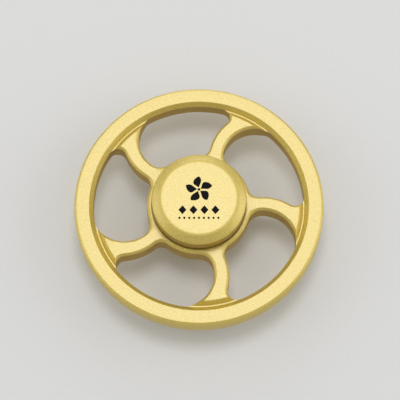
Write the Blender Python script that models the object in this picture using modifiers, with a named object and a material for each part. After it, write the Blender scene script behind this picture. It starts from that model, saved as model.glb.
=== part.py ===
"""A wheel-shaped fidget spinner: a die-cast wheel with five swept spokes turns on a small
ball bearing, and two finger caps screwed together through the bearing's bore are held still.

The spinner lies flat. +Z is the spin axis and points out of the front cap, and the origin is
the centre of the back cap's flat face. The bearing is the common inch size R188."""

import math

import bpy
import bmesh
from mathutils import Vector

MM = 0.001

# Wheel
WHEEL_RADIUS = 30.0 * MM
HALF_THICKNESS = 2.75 * MM
RIM_FACE_INNER = 26.38 * MM
RIM_FACE_OUTER = 29.3 * MM
RIM_WALL_HALF = 1.6 * MM
GROOVE_OUTER = 25.36 * MM
GROOVE_INNER = 25.02 * MM
GROOVE_HALF_HEIGHT = 1.7 * MM
SPOKE_FACE_OUTER = 24.1 * MM
HUB_BORE = 6.4 * MM
BORE_CHAMFER = 0.25 * MM

# Windows between the spokes, at the walls
SPOKES = 5
HUB_RADIUS = 12.45 * MM
WINDOW_RADIUS = 25.45 * MM
WINDOW_CHAMFER = 0.5 * MM
LEADING_RADIUS = 12.62 * MM
LEADING_CENTRE = (18.70 * MM, math.radians(-35.0))
TRAILING_RADIUS = 8.12 * MM
TRAILING_CENTRE = (17.87 * MM, math.radians(-32.4))
LEADING_HUB_FILLET = 2.5 * MM
LEADING_RIM_FILLET = 2.23 * MM
TRAILING_RIM_FILLET = 3.0 * MM
TRAILING_HUB_FILLET = 3.6 * MM

# Bearing R188
BEARING_RADIUS = 6.35 * MM
BEARING_BORE = 3.175 * MM
BEARING_HALF_WIDTH = 2.381 * MM
BALLS = 10
BALL_RADIUS = 1.1906 * MM
PITCH_RADIUS = 4.7625 * MM
RACE_RADIUS = 1.24 * MM
LAND_OFFSET = 0.6875 * MM
RING_CHAMFER = 0.15 * MM
SHIELD_STEP = 1.93 * MM
SHIELD_THICKNESS = 0.18 * MM
SHIELD_OUTER = 5.68 * MM
SHIELD_INNER = 4.16 * MM
SHIELD_SEAT = 5.72 * MM
SNAP_GROOVE_RADIUS = 5.85 * MM
SNAP_GROOVE_LOW = 2.13 * MM
SNAP_GROOVE_HIGH = 2.32 * MM
SNAP_INNER = 5.5 * MM
SNAP_GAP = math.radians(24)
CAGE_INNER = 4.4 * MM
CAGE_OUTER = 5.12 * MM
CAGE_LOW = -0.35 * MM
CAGE_HIGH = 1.75 * MM

# Finger caps and the screw that joins them
CAP_RADIUS = 11.35 * MM
CAP_FACE_RADIUS = 9.05 * MM
CAP_FACE = 7.6 * MM
CAP_BEVEL_FOOT = 5.82 * MM
CAP_UNDERSIDE = 3.0 * MM
CAP_EDGE = 0.15 * MM
BOSS_RADIUS = 3.9 * MM
BOSS_FACE = 2.43 * MM
SPIGOT_RADIUS = 3.1 * MM
SPIGOT_END = 0.1 * MM
SCREW_RADIUS = 2.0 * MM
SCREW_HALF_LENGTH = 4.8 * MM
SCREW_HOLE_RADIUS = 2.06 * MM
SCREW_HOLE_END = 5.0 * MM
DRILL_POINT = 5.6 * MM
HEX_SOCKET_RADIUS = 1.15 * MM
HEX_SOCKET_DEPTH = 1.6 * MM

MID_PLANE = CAP_FACE
SECTOR = 2 * math.pi / SPOKES

WHEEL_STEPS = 80
CAP_STEPS = 60
BEARING_STEPS = 40
WELD = 0.000001


def clear_scene():
    for obj in list(bpy.data.objects):
        bpy.data.objects.remove(obj, do_unlink=True)


def new_collection(name, hidden=False):
    collection = bpy.data.collections.new(name)
    bpy.context.scene.collection.children.link(collection)
    collection.hide_render = hidden
    return collection


def metal(name, colour, roughness):
    material = bpy.data.materials.new(name)
    material.use_nodes = True
    shader = material.node_tree.nodes["Principled BSDF"]
    shader.inputs["Base Color"].default_value = (*colour, 1.0)
    shader.inputs["Metallic"].default_value = 1.0
    shader.inputs["Roughness"].default_value = roughness
    return material


def add_object(name, data, collection, parent=None, material=None):
    obj = bpy.data.objects.new(name, data)
    collection.objects.link(obj)
    obj.parent = parent
    if material:
        data.materials.append(material)
    return obj


def add_axis(name, collection, height=0.0):
    axis = bpy.data.objects.new(name, None)
    axis.location.z = height
    axis.empty_display_size = 10 * MM
    collection.objects.link(axis)
    return axis


def polar(radius, angle):
    return Vector((radius * math.cos(angle), radius * math.sin(angle)))


def arc(centre, radius, start, end, steps):
    """Points of an arc about centre, both ends included."""
    turns = [start + (end - start) * i / steps for i in range(steps + 1)]
    return [centre + polar(radius, turn) for turn in turns]


def turned_mesh(name, profile, closed):
    """The (radius, height) profile as edges in the XZ plane."""
    mesh = bpy.data.meshes.new(name)
    points = [(radius, 0.0, height) for radius, height in profile]
    edges = [(i, i + 1) for i in range(len(points) - 1)]
    if closed:
        edges.append((len(points) - 1, 0))
    mesh.from_pydata(points, edges, [])
    return mesh


def turned(name, profile, steps, collection, parent, material, closed=True):
    """A solid of revolution about Z. The profile runs down its outer side."""
    obj = add_object(name, turned_mesh(name, profile, closed), collection, parent, material)
    screw = obj.modifiers.new("Turn", "SCREW")
    screw.steps = steps
    screw.render_steps = steps
    screw.use_merge_vertices = True
    screw.merge_threshold = WELD
    screw.use_smooth_shade = True
    return obj


def cut(obj, cutter):
    boolean = obj.modifiers.new(cutter.name, "BOOLEAN")
    boolean.operation = "DIFFERENCE"
    boolean.solver = "EXACT"
    boolean.object = cutter


def as_cutter(obj):
    obj.hide_render = True
    obj.display_type = "WIRE"
    return obj


def mirrored(profile):
    """The upper half of a profile that runs down to the mid-plane, followed by its mirror."""
    lower = [(radius, -height) for radius, height in reversed(profile) if height > 0]
    return profile + lower


def circle_crossing(centre_a, radius_a, centre_b, radius_b):
    """Where two circles meet, on the left of the way from a to b."""
    way = centre_b - centre_a
    along = (radius_a**2 - radius_b**2 + way.length_squared) / (2 * way.length)
    aside = math.sqrt(radius_a**2 - along**2)
    way.normalize()
    return centre_a + along * way + aside * Vector((-way.y, way.x))


def heading(start, end):
    way = end - start
    return math.atan2(way.y, way.x)


def window_outline(grow):
    """The closed outline of the window that follows the spoke on +X, anticlockwise.

    It is a chain of tangent arcs about fixed centres, so it grows by changing their radii."""
    axis = Vector((0.0, 0.0))
    leading = polar(*LEADING_CENTRE)
    trailing = polar(TRAILING_CENTRE[0], TRAILING_CENTRE[1] + SECTOR)
    hub_corner = circle_crossing(
        axis, HUB_RADIUS + LEADING_HUB_FILLET, leading, LEADING_RADIUS + LEADING_HUB_FILLET
    )
    hook = circle_crossing(
        axis, WINDOW_RADIUS - LEADING_RIM_FILLET, leading, LEADING_RADIUS + LEADING_RIM_FILLET
    )
    sweep = circle_crossing(
        axis, WINDOW_RADIUS - TRAILING_RIM_FILLET, trailing, TRAILING_RADIUS - TRAILING_RIM_FILLET
    )
    root = circle_crossing(
        axis, HUB_RADIUS + TRAILING_HUB_FILLET, trailing, TRAILING_RADIUS - TRAILING_HUB_FILLET
    )
    # Each arc: centre, radius, first and last angle, steps
    chain = [
        (leading, LEADING_RADIUS - grow, heading(leading, hub_corner), heading(leading, hook), 8),
        (hook, LEADING_RIM_FILLET + grow, heading(leading, hook) - math.pi, heading(axis, hook), 10),
        (axis, WINDOW_RADIUS + grow, heading(axis, hook), heading(axis, sweep), 14),
        (sweep, TRAILING_RIM_FILLET + grow, heading(axis, sweep), heading(trailing, sweep), 4),
        (trailing, TRAILING_RADIUS + grow, heading(trailing, sweep), heading(trailing, root), 10),
        (root, TRAILING_HUB_FILLET + grow, heading(trailing, root), heading(root, axis), 7),
        (axis, HUB_RADIUS - grow, heading(axis, root), heading(axis, hub_corner), 7),
        (
            hub_corner,
            LEADING_HUB_FILLET + grow,
            heading(hub_corner, axis),
            heading(hub_corner, leading),
            6,
        ),
    ]
    points = []
    for centre, radius, start, end, steps in chain:
        points += arc(centre, radius, start, nearest_turn(start, end), steps)[:-1]
    return points


def nearest_turn(start, end):
    """The angle equal to end that is less than half a turn from start."""
    return start + math.remainder(end - start, 2 * math.pi)


def window_cutter_mesh():
    """The window's walls, flared at both faces to leave a chamfer along the spokes and hub."""
    over = 0.3 * MM
    wall = HALF_THICKNESS - WINDOW_CHAMFER
    levels = [
        (-HALF_THICKNESS - over, WINDOW_CHAMFER + over),
        (-wall, 0.0),
        (wall, 0.0),
        (HALF_THICKNESS + over, WINDOW_CHAMFER + over),
    ]
    shape = bmesh.new()
    rings = []
    for height, grow in levels:
        outline = window_outline(grow)
        rings.append([shape.verts.new((point.x, point.y, height)) for point in outline])
    for low, high in zip(rings, rings[1:]):
        for i in range(len(low)):
            shape.faces.new((low[i - 1], low[i], high[i], high[i - 1]))
    shape.faces.new(reversed(rings[0]))
    shape.faces.new(rings[-1])
    mesh = bpy.data.meshes.new("window_cutter")
    shape.to_mesh(mesh)
    shape.free()
    return mesh


def rim_edge(steps):
    """The rounded outer edge of the rim, from its face to its wall."""
    width = WHEEL_RADIUS - RIM_FACE_OUTER
    height = HALF_THICKNESS - RIM_WALL_HALF
    turns = [math.pi / 2 * (1 - i / steps) for i in range(steps + 1)]
    return [
        (RIM_FACE_OUTER + width * math.cos(turn), RIM_WALL_HALF + height * math.sin(turn))
        for turn in turns
    ]


def make_wheel_frame(parts, cutters, axis, material):
    upper_outside = [
        (HUB_BORE + BORE_CHAMFER, HALF_THICKNESS),
        (SPOKE_FACE_OUTER, HALF_THICKNESS),
        (GROOVE_INNER, GROOVE_HALF_HEIGHT),
        (GROOVE_OUTER, GROOVE_HALF_HEIGHT),
        (RIM_FACE_INNER, HALF_THICKNESS),
    ] + rim_edge(3)
    bore = [
        (HUB_BORE, -HALF_THICKNESS + BORE_CHAMFER),
        (HUB_BORE, HALF_THICKNESS - BORE_CHAMFER),
    ]
    profile = mirrored(upper_outside) + bore
    wheel = turned("wheel_frame", profile, WHEEL_STEPS, parts, axis, material)
    mesh = window_cutter_mesh()
    for i in range(SPOKES):
        cutter = as_cutter(add_object(f"window_cutter_{i + 1}", mesh, cutters, axis))
        cutter.rotation_euler.z = i * SECTOR
        cut(wheel, cutter)


def race_arc(start, end):
    """A ball groove of the bearing, between its two lands."""
    return [tuple(point) for point in arc(Vector((PITCH_RADIUS, 0.0)), RACE_RADIUS, start, end, 8)]


def make_outer_ring(parts, axis, material):
    land = PITCH_RADIUS + LAND_OFFSET
    reach = math.acos(LAND_OFFSET / RACE_RADIUS)
    outside = [
        (BEARING_RADIUS - RING_CHAMFER, BEARING_HALF_WIDTH),
        (BEARING_RADIUS, BEARING_HALF_WIDTH - RING_CHAMFER),
        (BEARING_RADIUS, -BEARING_HALF_WIDTH + RING_CHAMFER),
        (BEARING_RADIUS - RING_CHAMFER, -BEARING_HALF_WIDTH),
    ]
    seat = [
        (SHIELD_SEAT, BEARING_HALF_WIDTH),
        (SHIELD_SEAT, SNAP_GROOVE_HIGH),
        (SNAP_GROOVE_RADIUS, SNAP_GROOVE_HIGH),
        (SNAP_GROOVE_RADIUS, SNAP_GROOVE_LOW),
        (SHIELD_SEAT, SNAP_GROOVE_LOW),
        (SHIELD_SEAT, SHIELD_STEP),
        (land, SHIELD_STEP),
    ]
    lower_seat = [(radius, -height) for radius, height in seat]
    profile = outside + lower_seat + race_arc(-reach, reach) + seat[::-1]
    turned("bearing_outer_ring", profile, BEARING_STEPS, parts, axis, material)


def make_inner_ring(parts, axis, material):
    land = PITCH_RADIUS - LAND_OFFSET
    reach = math.acos(LAND_OFFSET / RACE_RADIUS)
    outside = [
        (land - RING_CHAMFER, BEARING_HALF_WIDTH),
        (land, BEARING_HALF_WIDTH - RING_CHAMFER),
        *race_arc(math.pi - reach, math.pi + reach),
        (land, -BEARING_HALF_WIDTH + RING_CHAMFER),
        (land - RING_CHAMFER, -BEARING_HALF_WIDTH),
    ]
    bore = [
        (BEARING_BORE + RING_CHAMFER, -BEARING_HALF_WIDTH),
        (BEARING_BORE, -BEARING_HALF_WIDTH + RING_CHAMFER),
        (BEARING_BORE, BEARING_HALF_WIDTH - RING_CHAMFER),
        (BEARING_BORE + RING_CHAMFER, BEARING_HALF_WIDTH),
    ]
    turned("bearing_inner_ring", outside + bore, BEARING_STEPS, parts, axis, material)


def sphere_mesh(name, radius, segments):
    shape = bmesh.new()
    bmesh.ops.create_uvsphere(shape, u_segments=segments, v_segments=segments // 2, radius=radius)
    mesh = bpy.data.meshes.new(name)
    shape.to_mesh(mesh)
    shape.free()
    mesh.shade_smooth()
    return mesh


def ball_place(i):
    return (*polar(PITCH_RADIUS, 2 * math.pi * i / BALLS), 0.0)


def make_balls(parts, axis, material):
    mesh = sphere_mesh("ball", BALL_RADIUS, 14)
    mesh.materials.append(material)
    for i in range(BALLS):
        ball = add_object(f"bearing_ball_{i + 1}", mesh, parts, axis)
        ball.location = ball_place(i)


def make_cage(parts, cutters, axis, material):
    """A crown retainer: one ring with a pocket for each ball, open on its lower side."""
    profile = [
        (CAGE_OUTER, CAGE_HIGH),
        (CAGE_OUTER, CAGE_LOW),
        (CAGE_INNER, CAGE_LOW),
        (CAGE_INNER, CAGE_HIGH),
    ]
    cage = turned("ball_cage", profile, BEARING_STEPS, parts, axis, material)
    mesh = sphere_mesh("pocket", RACE_RADIUS, 14)
    for i in range(BALLS):
        pocket = as_cutter(add_object(f"pocket_cutter_{i + 1}", mesh, cutters, axis))
        pocket.location = ball_place(i)
        cut(cage, pocket)


def make_shield(name, side, parts, axis, material):
    low = SHIELD_STEP + 0.02 * MM
    high = low + SHIELD_THICKNESS
    profile = [(SHIELD_OUTER, high), (SHIELD_OUTER, low), (SHIELD_INNER, low), (SHIELD_INNER, high)]
    if side < 0:
        profile = [(radius, -height) for radius, height in reversed(profile)]
    turned(name, profile, BEARING_STEPS, parts, axis, material)


def make_snap_ring(name, side, parts, axis, material):
    """The open wire ring that holds a shield in its seat."""
    clearance = 0.03 * MM
    outer = SNAP_GROOVE_RADIUS - clearance
    half_thickness = (SNAP_GROOVE_HIGH - SNAP_GROOVE_LOW) / 2 - clearance
    start = SNAP_GAP / 2
    end = 2 * math.pi - SNAP_GAP / 2
    middle = Vector((0.0, 0.0))
    outline = arc(middle, outer, start, end, BEARING_STEPS)
    outline += arc(middle, SNAP_INNER, end, start, BEARING_STEPS)
    curve = bpy.data.curves.new(name, "CURVE")
    curve.dimensions = "2D"
    curve.fill_mode = "BOTH"
    curve.extrude = half_thickness
    spline = curve.splines.new("POLY")
    spline.points.add(len(outline) - 1)
    for spline_point, place in zip(spline.points, outline):
        spline_point.co = (place.x, place.y, 0.0, 1.0)
    spline.use_cyclic_u = True
    ring = add_object(name, curve, parts, axis, material)
    ring.location.z = side * (SNAP_GROOVE_HIGH + SNAP_GROOVE_LOW) / 2


def cap_profile():
    """The front cap's half section, from its face on the axis to the end of its screw hole."""
    return [
        (0.0, CAP_FACE),
        (CAP_FACE_RADIUS, CAP_FACE),
        (CAP_RADIUS, CAP_BEVEL_FOOT),
        (CAP_RADIUS, CAP_UNDERSIDE + CAP_EDGE),
        (CAP_RADIUS - CAP_EDGE, CAP_UNDERSIDE),
        (BOSS_RADIUS, CAP_UNDERSIDE),
        (BOSS_RADIUS, BOSS_FACE),
        (SPIGOT_RADIUS, BOSS_FACE),
        (SPIGOT_RADIUS, SPIGOT_END + CAP_EDGE),
        (SPIGOT_RADIUS - CAP_EDGE, SPIGOT_END),
        (SCREW_HOLE_RADIUS, SPIGOT_END),
        (SCREW_HOLE_RADIUS, SCREW_HOLE_END),
        (0.0, DRILL_POINT),
    ]


def make_cap(name, side, parts, axis, material):
    cap = turned(name, cap_profile(), CAP_STEPS, parts, axis, material, closed=False)
    if side < 0:
        cap.rotation_euler.x = math.pi


def make_cap_screw(parts, cutters, axis, material):
    """The headless screw that draws the two caps onto the bearing's inner ring."""
    lead_in = 0.4 * MM
    profile = mirrored(
        [
            (0.0, SCREW_HALF_LENGTH),
            (SCREW_RADIUS - lead_in, SCREW_HALF_LENGTH),
            (SCREW_RADIUS, SCREW_HALF_LENGTH - lead_in),
        ]
    )
    screw = turned("cap_screw", profile, 24, parts, axis, material, closed=False)
    shape = bmesh.new()
    bmesh.ops.create_cone(
        shape,
        cap_ends=True,
        segments=6,
        radius1=HEX_SOCKET_RADIUS,
        radius2=HEX_SOCKET_RADIUS,
        depth=2 * HEX_SOCKET_DEPTH,
    )
    mesh = bpy.data.meshes.new("hex_socket")
    shape.to_mesh(mesh)
    shape.free()
    socket = as_cutter(add_object("hex_socket_cutter", mesh, cutters, axis))
    socket.location.z = SCREW_HALF_LENGTH
    cut(screw, socket)


def make_spinner():
    parts = new_collection("fidget_spinner")
    cutters = new_collection("cutters", hidden=True)
    caps_axis = add_axis("caps_axis", parts, MID_PLANE)
    wheel_axis = add_axis("wheel_axis", parts, MID_PLANE)
    cage_axis = add_axis("cage_axis", parts, MID_PLANE)
    gold = metal("matte_gold", (0.84, 0.68, 0.30), 0.42)
    ring_steel = metal("ring_steel", (0.62, 0.63, 0.65), 0.25)
    ball_steel = metal("ball_steel", (0.78, 0.79, 0.80), 0.08)
    cage_steel = metal("cage_steel", (0.70, 0.68, 0.64), 0.35)
    spring_steel = metal("spring_steel", (0.45, 0.46, 0.48), 0.3)
    screw_steel = metal("screw_steel", (0.10, 0.10, 0.11), 0.45)
    make_wheel_frame(parts, cutters, wheel_axis, gold)
    make_outer_ring(parts, wheel_axis, ring_steel)
    make_inner_ring(parts, caps_axis, ring_steel)
    make_balls(parts, cage_axis, ball_steel)
    make_cage(parts, cutters, cage_axis, cage_steel)
    for place, side in (("front", 1), ("back", -1)):
        make_shield(f"bearing_shield_{place}", side, parts, wheel_axis, spring_steel)
        make_snap_ring(f"snap_ring_{place}", side, parts, wheel_axis, spring_steel)
        make_cap(f"finger_cap_{place}", side, parts, caps_axis, gold)
    make_cap_screw(parts, cutters, caps_axis, screw_steel)


clear_scene()
make_spinner()
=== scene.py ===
"""The looks of a wheel-shaped fidget spinner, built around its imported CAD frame.

The wheel, the two finger caps and the print on the front cap are fine meshes made here. The
bearing's pieces and the screw keep their CAD shapes and get procedural metals. Each made piece
is drawn about the wheel's middle and then raised to the frame's mid-plane."""

import math

import bmesh
import bpy
from mathutils import Matrix, Vector


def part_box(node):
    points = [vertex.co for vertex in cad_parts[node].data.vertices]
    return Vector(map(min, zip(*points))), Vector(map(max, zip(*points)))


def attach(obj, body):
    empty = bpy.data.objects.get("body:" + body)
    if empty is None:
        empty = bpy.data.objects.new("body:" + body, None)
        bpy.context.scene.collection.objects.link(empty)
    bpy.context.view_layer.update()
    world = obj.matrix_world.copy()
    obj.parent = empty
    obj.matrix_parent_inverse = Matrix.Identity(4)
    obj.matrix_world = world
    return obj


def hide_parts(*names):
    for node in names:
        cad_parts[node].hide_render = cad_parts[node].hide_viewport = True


MM = 0.001
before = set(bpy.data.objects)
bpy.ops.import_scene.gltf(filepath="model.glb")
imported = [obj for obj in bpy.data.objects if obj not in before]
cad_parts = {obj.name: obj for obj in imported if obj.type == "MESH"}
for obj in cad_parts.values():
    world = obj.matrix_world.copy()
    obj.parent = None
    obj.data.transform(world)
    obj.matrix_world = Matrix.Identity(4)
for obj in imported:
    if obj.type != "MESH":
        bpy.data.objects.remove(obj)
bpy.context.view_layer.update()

# Sizes read from the frame
wheel_low, wheel_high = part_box("wheel_frame")
cap_low, cap_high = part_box("finger_cap_front")
ring_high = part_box("bearing_outer_ring")[1]
FIT_CLEARANCE = 0.05 * MM
MID_PLANE = (wheel_low.z + wheel_high.z) / 2
WHEEL_RADIUS = wheel_high.x
HALF_THICKNESS = (wheel_high.z - wheel_low.z) / 2
HUB_BORE = ring_high.x + FIT_CLEARANCE
CAP_RADIUS = cap_high.x
CAP_FACE = cap_high.z - MID_PLANE
SPIGOT_END = cap_low.z - MID_PLANE

# The wheel's section, from the rim's wall inwards
RIM_FACE_OUTER = WHEEL_RADIUS - 0.7 * MM
RIM_WALL_HALF = HALF_THICKNESS - 1.15 * MM
RIM_EDGE_STEPS = 10
RIM_FACE_INNER = RIM_FACE_OUTER - 2.92 * MM
RIM_INNER_ROUNDING = 0.25 * MM
GROOVE_OUTER = RIM_FACE_INNER - 1.02 * MM
GROOVE_INNER = GROOVE_OUTER - 0.34 * MM
GROOVE_HALF_HEIGHT = HALF_THICKNESS - 1.05 * MM
GROOVE_ROUNDING = 0.12 * MM
SPOKE_FACE_OUTER = GROOVE_INNER - 0.92 * MM
SPOKE_FACE_ROUNDING = 0.2 * MM
RELIEF_OUTER = CAP_RADIUS + 0.07 * MM
RELIEF_INNER = CAP_RADIUS - 0.7 * MM
RELIEF_FLOOR = HALF_THICKNESS - 1.2 * MM
RELIEF_ROUNDING = 0.05 * MM
BORE_CHAMFER = 0.25 * MM
BORE_ROUNDING = 0.06 * MM

# The windows between the spokes. The sides of the spoke on +X are two arcs, whose centres are
# given as a radius and an angle.
SPOKES = 5
SECTOR = 2 * math.pi / SPOKES
HUB_RADIUS = 12.45 * MM
WINDOW_RADIUS = GROOVE_OUTER + 0.09 * MM
WINDOW_CHAMFER = 0.55 * MM
WINDOW_ROUNDING = 0.15 * MM
WALL_DRAFT = 0.12 * MM
FACE_BLEND_WIDTH = 0.3 * MM
FACE_BLEND_RISE = 0.03 * MM
CUTTER_RISE = 0.5 * MM
LEADING_RADIUS = 12.62 * MM
LEADING_CENTRE = (18.70 * MM, math.radians(-35.0))
TRAILING_RADIUS = 8.12 * MM
TRAILING_CENTRE = (17.87 * MM, math.radians(-32.4))
LEADING_HUB_FILLET = 2.5 * MM
LEADING_RIM_FILLET = 2.23 * MM
TRAILING_RIM_FILLET = 3.0 * MM
TRAILING_HUB_FILLET = 3.6 * MM

# The finger caps
CAP_FACE_RADIUS = CAP_RADIUS - 1.88 * MM
CAP_BEVEL_FOOT = CAP_FACE - 1.45 * MM
CAP_WALL_FOOT = HALF_THICKNESS + 0.75 * MM
CAP_UNDERSIDE = HALF_THICKNESS + 0.25 * MM
CAP_NECK_RADIUS = CAP_RADIUS - 0.9 * MM
CAP_FACE_ROUNDING = 2.2 * MM
CAP_BEVEL_ROUNDING = 0.8 * MM
CAP_EDGE_ROUNDING = 0.15 * MM
BOSS_RADIUS = 3.9 * MM
BOSS_ROUNDING = 0.08 * MM
BOSS_FACE = ring_high.z - MID_PLANE + FIT_CLEARANCE
SPIGOT_RADIUS = 3.1 * MM
SCREW_HOLE_RADIUS = 2.06 * MM
SCREW_HOLE_END = 5.0 * MM
SCREW_HOLE_ROUNDING = 0.1 * MM
DRILL_POINT = 5.6 * MM

# The print on the front cap
PRINT_RISE = 0.03 * MM
PINWHEEL_CENTRE = Vector((0.0, 2.0 * MM))
PINWHEEL_RADIUS = 3.3 * MM
PINWHEEL_HUB_RADIUS = 0.1 * PINWHEEL_RADIUS
PINWHEEL_BLADES = 5
BLADE_ROOT = 0.16 * PINWHEEL_RADIUS
BLADE_STEPS = 14
# How the blade's sides bow and how wide its root is, in radians about the pinwheel's centre
BLADE_OUTER_BELLY = -1.0
BLADE_INNER_BELLY = 0.55
BLADE_ROOT_ANGLE = 0.35
DIAMONDS = 4
DIAMOND_SPACING = 2.6 * MM
DIAMOND_Y = -3.1 * MM
DIAMOND_HALF_WIDTH = 0.95 * MM
DIAMOND_HALF_HEIGHT = 1.1 * MM
DOTS = 9
DOT_SPACING = 1.15 * MM
DOT_Y = -5.1 * MM
DOT_RADIUS = 0.27 * MM

# How fine the meshes are
ARC_STEP = 0.4 * MM
CORNER_STEPS = 4
WHEEL_STEPS = 240
CAP_STEPS = 160
HUB_DISC_STEPS = 24
DOT_STEPS = 16
WELD_DISTANCE = 0.001 * MM
SHARP_ANGLE = math.radians(38)
FLAT_FACE_WEIGHT = 80

# The gold's linear colours, the sizes of its pattern, and where its rim's wall begins, past which
# the painted shade on the walls fades
GOLD_PIT = (0.59, 0.455, 0.070)
GOLD_PEAK = (0.79, 0.625, 0.132)
GOLD_DRIFT = (0.70, 0.54, 0.10)
# The darker brown that is painted on the upright walls of the windows and caps is painted shade,
# standing in for the shade in those recesses
GOLD_PAINTED_SHADE = (0.52, 0.365, 0.095)
GOLD_WORN = (0.86, 0.69, 0.25)
GRAIN_SIZE = 0.36 * MM
GRAIN_DEPTH = 0.02 * MM
DRIFT_SIZE = 14 * MM
WEAR_RADIUS = 0.18 * MM
WALL_FADE_START = WHEEL_RADIUS - 3.5 * MM
WALL_FADE_END = WHEEL_RADIUS - 2 * MM

# Where most of a noise pattern's values lie
NOISE_LOW = 0.3
NOISE_HIGH = 0.7

# The studio
FLOOR_HALF_WIDTH = 3.0
FLOOR_SEGMENTS = 8
FLOOR_GAP = 0.02 * MM
SKY_COLOUR = (1.0, 0.995, 0.985, 1.0)
HORIZON_STRENGTH = 0.85
OVERHEAD_STRENGTH = 0.5

# The camera, which looks down from the -Y side
VIEW_ELEVATION = math.radians(71.4)
VIEW_DISTANCE = 400 * MM
LENS = 149.0
AIM_RIGHT = 0.25 * MM
AIM_UP = 1.80 * MM
CLIP_START = 0.01
CLIP_END = 10.0


def polar(radius, angle):
    return Vector((radius * math.cos(angle), radius * math.sin(angle)))


def heading(start, end):
    way = end - start
    return math.atan2(way.y, way.x)


def nearest_turn(start, end):
    """The angle equal to end that is less than half a turn from start."""
    return start + math.remainder(end - start, 2 * math.pi)


def arc(centre, radius, start, end, steps):
    """Points of an arc about centre, both ends included."""
    return [centre + polar(radius, start + (end - start) * i / steps) for i in range(steps + 1)]


def circle(centre, radius, steps):
    return arc(centre, radius, 0.0, 2 * math.pi, steps)[:-1]


def rounded(corners, closed=True):
    """The outline of (x, y, rounding radius) corners with each corner made an arc."""
    points = []
    last = len(corners) - 1
    for i, (x, y, radius) in enumerate(corners):
        corner = Vector((x, y))
        if radius == 0 or (not closed and i in (0, last)):
            points.append(corner)
            continue
        before = (Vector(corners[i - 1][:2]) - corner).normalized()
        after = (Vector(corners[(i + 1) % len(corners)][:2]) - corner).normalized()
        half = before.angle(after) / 2
        centre = corner + (before + after).normalized() * radius / math.sin(half)
        start = corner + before * radius / math.tan(half)
        end = corner + after * radius / math.tan(half)
        first = heading(centre, start)
        turn = nearest_turn(first, heading(centre, end))
        points += arc(centre, radius, first, turn, CORNER_STEPS)
    return points


def add_mesh(name, shape):
    mesh = bpy.data.meshes.new(name)
    shape.to_mesh(mesh)
    shape.free()
    obj = bpy.data.objects.new(name, mesh)
    bpy.context.scene.collection.objects.link(obj)
    return obj


def turned(name, outline, steps, closed=True):
    """A solid of revolution about Z from (radius, height) points that run down its outer side."""
    shape = bmesh.new()
    points = [shape.verts.new((radius, 0.0, height)) for radius, height in outline]
    edges = [shape.edges.new(pair) for pair in zip(points, points[1:])]
    if closed:
        edges.append(shape.edges.new((points[-1], points[0])))
    bmesh.ops.spin(
        shape,
        geom=points + edges,
        axis=(0, 0, 1),
        cent=(0, 0, 0),
        angle=2 * math.pi,
        steps=steps,
        use_merge=True,
    )
    bmesh.ops.remove_doubles(shape, verts=shape.verts, dist=WELD_DISTANCE)
    bmesh.ops.recalc_face_normals(shape, faces=shape.faces)
    return add_mesh(name, shape)


def lofted(name, rings):
    """A closed solid through rings of 3D points, from the lowest up, each ring anticlockwise."""
    shape = bmesh.new()
    loops = [[shape.verts.new(point) for point in ring] for ring in rings]
    for low, high in zip(loops, loops[1:]):
        for i in range(len(low)):
            shape.faces.new((low[i - 1], low[i], high[i], high[i - 1]))
    shape.faces.new(reversed(loops[0]))
    shape.faces.new(loops[-1])
    return add_mesh(name, shape)


def circle_crossing(centre_a, radius_a, centre_b, radius_b):
    """Where two circles meet, on the left of the way from a to b."""
    way = centre_b - centre_a
    along = (radius_a**2 - radius_b**2 + way.length_squared) / (2 * way.length)
    aside = math.sqrt(radius_a**2 - along**2)
    way.normalize()
    return centre_a + along * way + aside * Vector((-way.y, way.x))


def window_arcs():
    """The window that follows the spoke on +X as tangent arcs, anticlockwise.

    Each arc is its centre, its radius, 1 or -1 as that radius grows or shrinks when the window
    grows, and its first and last angle."""
    axis = Vector((0.0, 0.0))
    leading = polar(*LEADING_CENTRE)
    trailing = polar(TRAILING_CENTRE[0], TRAILING_CENTRE[1] + SECTOR)
    hub_corner = circle_crossing(
        axis, HUB_RADIUS + LEADING_HUB_FILLET, leading, LEADING_RADIUS + LEADING_HUB_FILLET
    )
    hook = circle_crossing(
        axis, WINDOW_RADIUS - LEADING_RIM_FILLET, leading, LEADING_RADIUS + LEADING_RIM_FILLET
    )
    sweep = circle_crossing(
        axis, WINDOW_RADIUS - TRAILING_RIM_FILLET, trailing, TRAILING_RADIUS - TRAILING_RIM_FILLET
    )
    root = circle_crossing(
        axis, HUB_RADIUS + TRAILING_HUB_FILLET, trailing, TRAILING_RADIUS - TRAILING_HUB_FILLET
    )
    return [
        (leading, LEADING_RADIUS, -1, heading(leading, hub_corner), heading(leading, hook)),
        (hook, LEADING_RIM_FILLET, 1, heading(leading, hook) - math.pi, heading(axis, hook)),
        (axis, WINDOW_RADIUS, 1, heading(axis, hook), heading(axis, sweep)),
        (sweep, TRAILING_RIM_FILLET, 1, heading(axis, sweep), heading(trailing, sweep)),
        (trailing, TRAILING_RADIUS, 1, heading(trailing, sweep), heading(trailing, root)),
        (root, TRAILING_HUB_FILLET, 1, heading(trailing, root), heading(root, axis)),
        (axis, HUB_RADIUS, -1, heading(axis, root), heading(axis, hub_corner)),
        (
            hub_corner,
            LEADING_HUB_FILLET,
            1,
            heading(hub_corner, axis),
            heading(hub_corner, leading),
        ),
    ]


def window_ring(arcs, grow, height, turn):
    """The window's outline, grown by grow and turned about the spin axis, at one height."""
    points = []
    for centre, radius, sign, start, end in arcs:
        end = nearest_turn(start, end)
        steps = math.ceil(abs(end - start) * radius / ARC_STEP)
        points += arc(centre, radius + sign * grow, start, end, steps)[:-1]
    rotation = Matrix.Rotation(turn, 2)
    return [(*(rotation @ point), height) for point in points]


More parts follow.
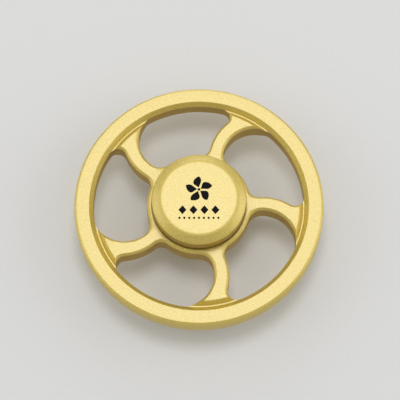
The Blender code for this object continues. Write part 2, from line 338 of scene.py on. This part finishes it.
def window_section():
    """(grow, height) of a window's side: a drafted wall, a chamfer and a soft edge to the face."""
    wall_top = HALF_THICKNESS - WINDOW_CHAMFER
    reach = WINDOW_CHAMFER + FACE_BLEND_WIDTH
    upper = rounded(
        [
            (-WALL_DRAFT, 0.0, 0.0),
            (0.0, wall_top, WINDOW_ROUNDING),
            (WINDOW_CHAMFER, HALF_THICKNESS, WINDOW_ROUNDING),
            (reach, HALF_THICKNESS + FACE_BLEND_RISE, 0.0),
            (reach, HALF_THICKNESS + CUTTER_RISE, 0.0),
        ],
        closed=False,
    )
    lower = [Vector((grow, -height)) for grow, height in reversed(upper[1:])]
    return lower + upper


def rim_edge():
    """The rounded outer edge of the rim, from its face to its wall."""
    width = WHEEL_RADIUS - RIM_FACE_OUTER
    height = HALF_THICKNESS - RIM_WALL_HALF
    turns = [math.pi / 2 * (1 - i / RIM_EDGE_STEPS) for i in range(RIM_EDGE_STEPS + 1)]
    return [
        (RIM_FACE_OUTER + width * math.cos(turn), RIM_WALL_HALF + height * math.sin(turn), 0.0)
        for turn in turns
    ]


def make_wheel():
    upper = [
        (HUB_BORE + BORE_CHAMFER, HALF_THICKNESS, BORE_ROUNDING),
        (RELIEF_INNER, HALF_THICKNESS, RELIEF_ROUNDING),
        (RELIEF_INNER, RELIEF_FLOOR, RELIEF_ROUNDING),
        (RELIEF_OUTER, RELIEF_FLOOR, RELIEF_ROUNDING),
        (RELIEF_OUTER, HALF_THICKNESS, RELIEF_ROUNDING),
        (SPOKE_FACE_OUTER, HALF_THICKNESS, SPOKE_FACE_ROUNDING),
        (GROOVE_INNER, GROOVE_HALF_HEIGHT, GROOVE_ROUNDING),
        (GROOVE_OUTER, GROOVE_HALF_HEIGHT, GROOVE_ROUNDING),
        (RIM_FACE_INNER, HALF_THICKNESS, RIM_INNER_ROUNDING),
    ] + rim_edge()
    lower = [(radius, -height, rounding) for radius, height, rounding in reversed(upper)]
    bore = [
        (HUB_BORE, -HALF_THICKNESS + BORE_CHAMFER, BORE_ROUNDING),
        (HUB_BORE, HALF_THICKNESS - BORE_CHAMFER, BORE_ROUNDING),
    ]
    wheel = turned("wheel_casting", rounded(upper + lower + bore), WHEEL_STEPS)
    arcs = window_arcs()
    for i in range(SPOKES):
        rings = [window_ring(arcs, grow, height, i * SECTOR) for grow, height in window_section()]
        cutter = lofted(f"window_cutter_{i + 1}", rings)
        cut = wheel.modifiers.new(cutter.name, "BOOLEAN")
        cut.operation = "DIFFERENCE"
        cut.solver = "MANIFOLD"
        cut.object = cutter
    apply_modifiers(wheel)
    return wheel


def apply_modifiers(obj):
    """Makes the object's modified shape its mesh, and removes the cutters that made it."""
    graph = bpy.context.evaluated_depsgraph_get()
    mesh = bpy.data.meshes.new_from_object(obj.evaluated_get(graph))
    cutters = [modifier.object for modifier in obj.modifiers]
    obj.modifiers.clear()
    obj.data = mesh
    for cutter in cutters:
        bpy.data.objects.remove(cutter)


def soften(obj):
    """Smooth shading that leaves flat faces flat and keeps the sharpest edges."""
    obj.data.shade_smooth()
    obj.data.set_sharp_from_angle(angle=SHARP_ANGLE)
    normals = obj.modifiers.new("Flat faces", "WEIGHTED_NORMAL")
    normals.keep_sharp = True
    normals.weight = FLAT_FACE_WEIGHT


def make_cap(name, side):
    corners = [
        (0.0, CAP_FACE, 0.0),
        (CAP_FACE_RADIUS, CAP_FACE, CAP_FACE_ROUNDING),
        (CAP_RADIUS, CAP_BEVEL_FOOT, CAP_BEVEL_ROUNDING),
        (CAP_RADIUS, CAP_WALL_FOOT, CAP_EDGE_ROUNDING),
        (CAP_NECK_RADIUS, CAP_WALL_FOOT, 0.0),
        (CAP_NECK_RADIUS, CAP_UNDERSIDE, CAP_EDGE_ROUNDING),
        (BOSS_RADIUS, CAP_UNDERSIDE, 0.0),
        (BOSS_RADIUS, BOSS_FACE, BOSS_ROUNDING),
        (SPIGOT_RADIUS, BOSS_FACE, 0.0),
        (SPIGOT_RADIUS, SPIGOT_END, CAP_EDGE_ROUNDING),
        (SCREW_HOLE_RADIUS, SPIGOT_END, SCREW_HOLE_ROUNDING),
        (SCREW_HOLE_RADIUS, SCREW_HOLE_END, 0.0),
        (0.0, DRILL_POINT, 0.0),
    ]
    cap = turned(name, rounded(corners, closed=False), CAP_STEPS, closed=False)
    if side < 0:
        cap.data.transform(Matrix.Rotation(math.pi, 4, "X"))
    return cap


def blade_outline():
    """One swept pinwheel blade about the pinwheel's centre, its tip on +X."""
    length = PINWHEEL_RADIUS - BLADE_ROOT
    shares = [i / BLADE_STEPS for i in range(BLADE_STEPS + 1)]
    outer = [
        polar(BLADE_ROOT + length * share, BLADE_OUTER_BELLY * share * (1 - share))
        for share in shares
    ]
    inner = [
        polar(
            BLADE_ROOT + length * share,
            BLADE_INNER_BELLY * math.sin(math.pi * share) + BLADE_ROOT_ANGLE * (1 - share),
        )
        for share in reversed(shares[:-1])
    ]
    return outer + inner


def diamond(centre):
    across = Vector((DIAMOND_HALF_WIDTH, 0.0))
    up = Vector((0.0, DIAMOND_HALF_HEIGHT))
    return [centre + across, centre + up, centre - across, centre - up]


def row(count, spacing, y):
    """Points of an even row that is centred on the spin axis."""
    return [Vector(((i - (count - 1) / 2) * spacing, y)) for i in range(count)]


def print_shapes():
    """Flat outlines of the print: a pinwheel over a row of diamonds and a row of dots."""
    shapes = []
    for i in range(PINWHEEL_BLADES):
        rotation = Matrix.Rotation(math.pi / 2 + 2 * math.pi * i / PINWHEEL_BLADES, 2)
        shapes.append([PINWHEEL_CENTRE + rotation @ point for point in blade_outline()])
    shapes.append(circle(PINWHEEL_CENTRE, PINWHEEL_HUB_RADIUS, HUB_DISC_STEPS))
    for centre in row(DIAMONDS, DIAMOND_SPACING, DIAMOND_Y):
        shapes.append(diamond(centre))
    for centre in row(DOTS, DOT_SPACING, DOT_Y):
        shapes.append(circle(centre, DOT_RADIUS, DOT_STEPS))
    return shapes


def make_print():
    shape = bmesh.new()
    for outline in print_shapes():
        lower = [shape.verts.new((*point, CAP_FACE - PRINT_RISE)) for point in outline]
        upper = [shape.verts.new((*point, CAP_FACE + PRINT_RISE)) for point in outline]
        for i in range(len(lower)):
            shape.faces.new((lower[i - 1], lower[i], upper[i], upper[i - 1]))
        shape.faces.new(reversed(lower))
        shape.faces.new(upper)
    bmesh.ops.recalc_face_normals(shape, faces=shape.faces)
    return add_mesh("cap_print", shape)


def add_node(tree, kind, values=None, **settings):
    """A shader node. values fills its inputs with numbers or links, settings its properties."""
    node = tree.nodes.new(kind)
    for name, value in settings.items():
        setattr(node, name, value)
    for name, value in (values or {}).items():
        if isinstance(value, bpy.types.NodeSocket):
            tree.links.new(value, node.inputs[name])
        else:
            node.inputs[name].default_value = value
    return node


def noise(tree, place, size, detail=2.0):
    """Noise whose features are about that size, in metres."""
    values = {"Vector": place, "Scale": 1 / size, "Detail": detail}
    return add_node(tree, "ShaderNodeTexNoise", values).outputs["Fac"]


def remap(tree, value, low, high, to_low, to_high):
    values = {
        "Value": value,
        "From Min": low,
        "From Max": high,
        "To Min": to_low,
        "To Max": to_high,
    }
    return add_node(tree, "ShaderNodeMapRange", values).outputs["Result"]


def spread(tree, pattern, to_low, to_high):
    """Noise stretched so that most of it goes from to_low to to_high."""
    return remap(tree, pattern, NOISE_LOW, NOISE_HIGH, to_low, to_high)


def mixed(tree, share, colour_a, colour_b):
    mix = add_node(tree, "ShaderNodeMix", data_type="RGBA")
    tree.links.new(share, mix.inputs["Factor"])
    for name, colour in (("A", colour_a), ("B", colour_b)):
        socket = next(s for s in mix.inputs if s.name == name and s.type == "RGBA")
        if isinstance(colour, bpy.types.NodeSocket):
            tree.links.new(colour, socket)
        else:
            socket.default_value = (*colour, 1.0)
    return next(s for s in mix.outputs if s.type == "RGBA")


def new_material(name):
    """A material with its node tree, its Principled shader and its object coordinates."""
    material = bpy.data.materials.new(name)
    material.use_nodes = True
    tree = material.node_tree
    shader = tree.nodes["Principled BSDF"]
    place = add_node(tree, "ShaderNodeTexCoord").outputs["Object"]
    return material, tree, shader, place


def bump(tree, shader, height, depth, strength):
    values = {"Height": height, "Distance": depth, "Strength": strength}
    node = add_node(tree, "ShaderNodeBump", values)
    tree.links.new(node.outputs["Normal"], shader.inputs["Normal"])


def levelness(tree):
    """1 on surfaces square to the spin axis, 0 on upright walls."""
    normal = add_node(tree, "ShaderNodeTexCoord").outputs["Normal"]
    tilt = add_node(tree, "ShaderNodeSeparateXYZ", {"Vector": normal}).outputs["Z"]
    return add_node(tree, "ShaderNodeMath", {0: tilt}, operation="ABSOLUTE").outputs["Value"]


def product(tree, value_a, value_b):
    values = {0: value_a, 1: value_b}
    return add_node(tree, "ShaderNodeMath", values, operation="MULTIPLY").outputs["Value"]


def axis_distance(tree, place):
    """How far each point is from the spin axis, in metres."""
    values = {0: place, 1: (1.0, 1.0, 0.0)}
    flat = add_node(tree, "ShaderNodeVectorMath", values, operation="MULTIPLY").outputs["Vector"]
    return add_node(tree, "ShaderNodeVectorMath", {0: flat}, operation="LENGTH").outputs["Value"]


def wall_share(tree, place, level):
    """Where the painted shade goes: 1 on the upright walls of the windows and the caps, less on
    the rim's wall, 0 on faces.
    """
    inside = remap(tree, axis_distance(tree, place), WALL_FADE_START, WALL_FADE_END, 1.0, 0.25)
    wall = remap(tree, level, 0.1, 0.6, 1.0, 0.0)
    return product(tree, wall, inside)


def edge_share(tree):
    """How far the surface bends nearby, from 0 on a flat to about a third on an edge."""
    soft = add_node(tree, "ShaderNodeBevel", {"Radius": WEAR_RADIUS}, samples=6).outputs["Normal"]
    normal = add_node(tree, "ShaderNodeNewGeometry").outputs["Normal"]
    match = add_node(tree, "ShaderNodeVectorMath", {0: soft, 1: normal}, operation="DOT_PRODUCT")
    return remap(tree, match.outputs["Value"], 0.99, 0.92, 0.0, 0.35)


def make_gold():
    """Sandblasted gold: a fine pitted grain, slow drifts of tone, walls darkened with painted
    shade, and worn edges.
    """
    material, tree, shader, place = new_material("sandblasted_gold")
    grain = noise(tree, place, GRAIN_SIZE, 4.0)
    drift = noise(tree, place, DRIFT_SIZE)
    grained = mixed(tree, spread(tree, grain, 0.0, 1.0), GOLD_PIT, GOLD_PEAK)
    toned = mixed(tree, remap(tree, drift, 0.35, 0.65, 0.0, 0.2), grained, GOLD_DRIFT)
    level = levelness(tree)
    wall = wall_share(tree, place, level)
    # Painted shade: the walls' colour is mixed toward a darker brown as if they lay in shade
    wall_shaded = mixed(tree, wall, toned, GOLD_PAINTED_SHADE)
    worn = mixed(tree, edge_share(tree), wall_shaded, GOLD_WORN)
    tree.links.new(worn, shader.inputs["Base Color"])
    tree.links.new(spread(tree, grain, 0.57, 0.63), shader.inputs["Roughness"])
    shader.inputs["Metallic"].default_value = 1.0
    face_coat = remap(tree, level, 0.6, 0.97, 0.6, 1.0)
    wall_coat = remap(tree, wall, 0.0, 1.0, 1.0, 0.25)
    tree.links.new(product(tree, face_coat, wall_coat), shader.inputs["Coat Weight"])
    shader.inputs["Coat IOR"].default_value = 1.85
    shader.inputs["Coat Roughness"].default_value = 0.36
    bump(tree, shader, grain, GRAIN_DEPTH, 0.6)
    return material


def make_steel(name, colour, roughness, line_size):
    """Turned or ground steel: fine lines round the spin axis and a slow change of polish."""
    material, tree, shader, place = new_material(name)
    height = add_node(tree, "ShaderNodeSeparateXYZ", {"Vector": place}).outputs["Z"]
    values = {"X": axis_distance(tree, place), "Y": height}
    section = add_node(tree, "ShaderNodeCombineXYZ", values).outputs["Vector"]
    lines = noise(tree, section, line_size, 3.0)
    cloud = noise(tree, place, 2.5 * MM)
    darker = tuple(0.78 * channel for channel in colour)
    tree.links.new(mixed(tree, cloud, darker, colour), shader.inputs["Base Color"])
    rough = spread(tree, lines, 0.8 * roughness, 1.3 * roughness)
    tree.links.new(rough, shader.inputs["Roughness"])
    shader.inputs["Metallic"].default_value = 1.0
    bump(tree, shader, lines, 0.004 * MM, 0.4)
    return material


def make_ink():
    """Flat black pad-print ink, slightly uneven in cover and gloss."""
    material, tree, shader, place = new_material("print_ink")
    cover = noise(tree, place, 0.35 * MM, 3.0)
    blotch = mixed(tree, cover, (0.002, 0.002, 0.003), (0.009, 0.008, 0.008))
    tree.links.new(blotch, shader.inputs["Base Color"])
    tree.links.new(spread(tree, cover, 0.6, 0.75), shader.inputs["Roughness"])
    shader.inputs["Specular IOR Level"].default_value = 0.1
    bump(tree, shader, cover, 0.004 * MM, 0.3)
    return material


def make_paper():
    """The studio floor: pale matt paper with a faint tooth."""
    material, tree, shader, place = new_material("pale_paper")
    tooth = noise(tree, place, 0.8 * MM, 4.0)
    shade = mixed(tree, tooth, (0.74, 0.74, 0.735), (0.78, 0.78, 0.775))
    tree.links.new(shade, shader.inputs["Base Color"])
    shader.inputs["Roughness"].default_value = 0.9
    bump(tree, shader, tooth, 0.02 * MM, 0.2)
    return material


def place_piece(obj, body, material, nodes=()):
    """Gives a made piece its material, its place at the mid-plane and its CAD body."""
    obj.data.materials.clear()
    obj.data.materials.append(material)
    obj.data.transform(Matrix.Translation((0.0, 0.0, MID_PLANE)))
    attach(obj, body)
    if nodes:
        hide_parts(*nodes)


def finish_bearing():
    """Procedural metals on the CAD nodes that stay."""
    finishes = {
        "ring_steel": make_steel("ground_ring_steel", (0.62, 0.63, 0.65), 0.24, 0.05 * MM),
        "ball_steel": make_steel("polished_ball_steel", (0.78, 0.79, 0.80), 0.08, 0.4 * MM),
        "cage_steel": make_steel("pressed_cage_steel", (0.66, 0.64, 0.60), 0.36, 0.12 * MM),
        "spring_steel": make_steel("rolled_spring_steel", (0.45, 0.46, 0.48), 0.30, 0.08 * MM),
        "screw_steel": make_steel("blackened_screw_steel", (0.09, 0.09, 0.10), 0.42, 0.10 * MM),
    }
    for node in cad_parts.values():
        for slot in node.material_slots:
            finish = finishes.get(slot.material.name.split(".")[0])
            if finish:
                slot.material = finish


def make_floor():
    shape = bmesh.new()
    bmesh.ops.create_grid(
        shape, x_segments=FLOOR_SEGMENTS, y_segments=FLOOR_SEGMENTS, size=FLOOR_HALF_WIDTH
    )
    floor = add_mesh("studio_floor", shape)
    floor.location.z = -FLOOR_GAP
    floor.data.materials.append(make_paper())


def add_softbox(name, direction, distance, size, radiance):
    """A square soft light that faces the wheel from that direction, as bright as radiance."""
    light = bpy.data.lights.new(name, "AREA")
    light.shape = "SQUARE"
    light.size = size
    light.energy = radiance * math.pi * size**2
    obj = bpy.data.objects.new(name, light)
    way = Vector(direction).normalized()
    obj.location = Vector((0.0, 0.0, MID_PLANE)) + way * distance
    obj.rotation_euler = way.to_track_quat("Z", "Y").to_euler()
    bpy.context.scene.collection.objects.link(obj)


def light_studio():
    """Soft lights and a sky that brightens to the horizon, which the bevels and walls mirror."""
    world = bpy.data.worlds.new("studio")
    world.use_nodes = True
    tree = world.node_tree
    way = add_node(tree, "ShaderNodeTexCoord").outputs["Generated"]
    height = add_node(tree, "ShaderNodeSeparateXYZ", {"Vector": way}).outputs["Z"]
    background = tree.nodes["Background"]
    background.inputs["Color"].default_value = SKY_COLOUR
    strength = remap(tree, height, 0.05, 0.55, HORIZON_STRENGTH, OVERHEAD_STRENGTH)
    tree.links.new(strength, background.inputs["Strength"])
    bpy.context.scene.world = world
    add_softbox("overhead_softbox", (0.0, 0.28, 0.96), distance=1.5, size=0.56, radiance=5.85)
    add_softbox("left_softbox", (-0.93, 0.05, 0.35), distance=0.8, size=0.65, radiance=0.9)
    add_softbox("right_softbox", (0.93, 0.05, 0.35), distance=0.8, size=0.65, radiance=1.2)
    add_softbox("far_softbox", (0.0, 0.97, 0.22), distance=0.8, size=0.45, radiance=1.2)


def add_camera():
    toward = Vector((0.0, -math.cos(VIEW_ELEVATION), math.sin(VIEW_ELEVATION)))
    up = Vector((0.0, math.sin(VIEW_ELEVATION), math.cos(VIEW_ELEVATION)))
    aim = Vector((AIM_RIGHT, 0.0, MID_PLANE)) + AIM_UP * up
    data = bpy.data.cameras.new("camera")
    data.lens = LENS
    data.clip_start = CLIP_START
    data.clip_end = CLIP_END
    camera = bpy.data.objects.new("camera", data)
    camera.location = aim + VIEW_DISTANCE * toward
    camera.rotation_euler = toward.to_track_quat("Z", "Y").to_euler()
    bpy.context.scene.collection.objects.link(camera)
    bpy.context.scene.camera = camera


def build():
    gold = make_gold()
    wheel = make_wheel()
    place_piece(wheel, "wheel", gold, ["wheel_frame"])
    soften(wheel)
    for side_name, side in (("front", 1), ("back", -1)):
        cap = make_cap(f"cap_{side_name}", side)
        place_piece(cap, "caps", gold, [f"finger_cap_{side_name}"])
        soften(cap)
    place_piece(make_print(), "caps", make_ink())
    finish_bearing()
    make_floor()
    light_studio()
    add_camera()
    bpy.context.scene.view_settings.view_transform = "Standard"


build()
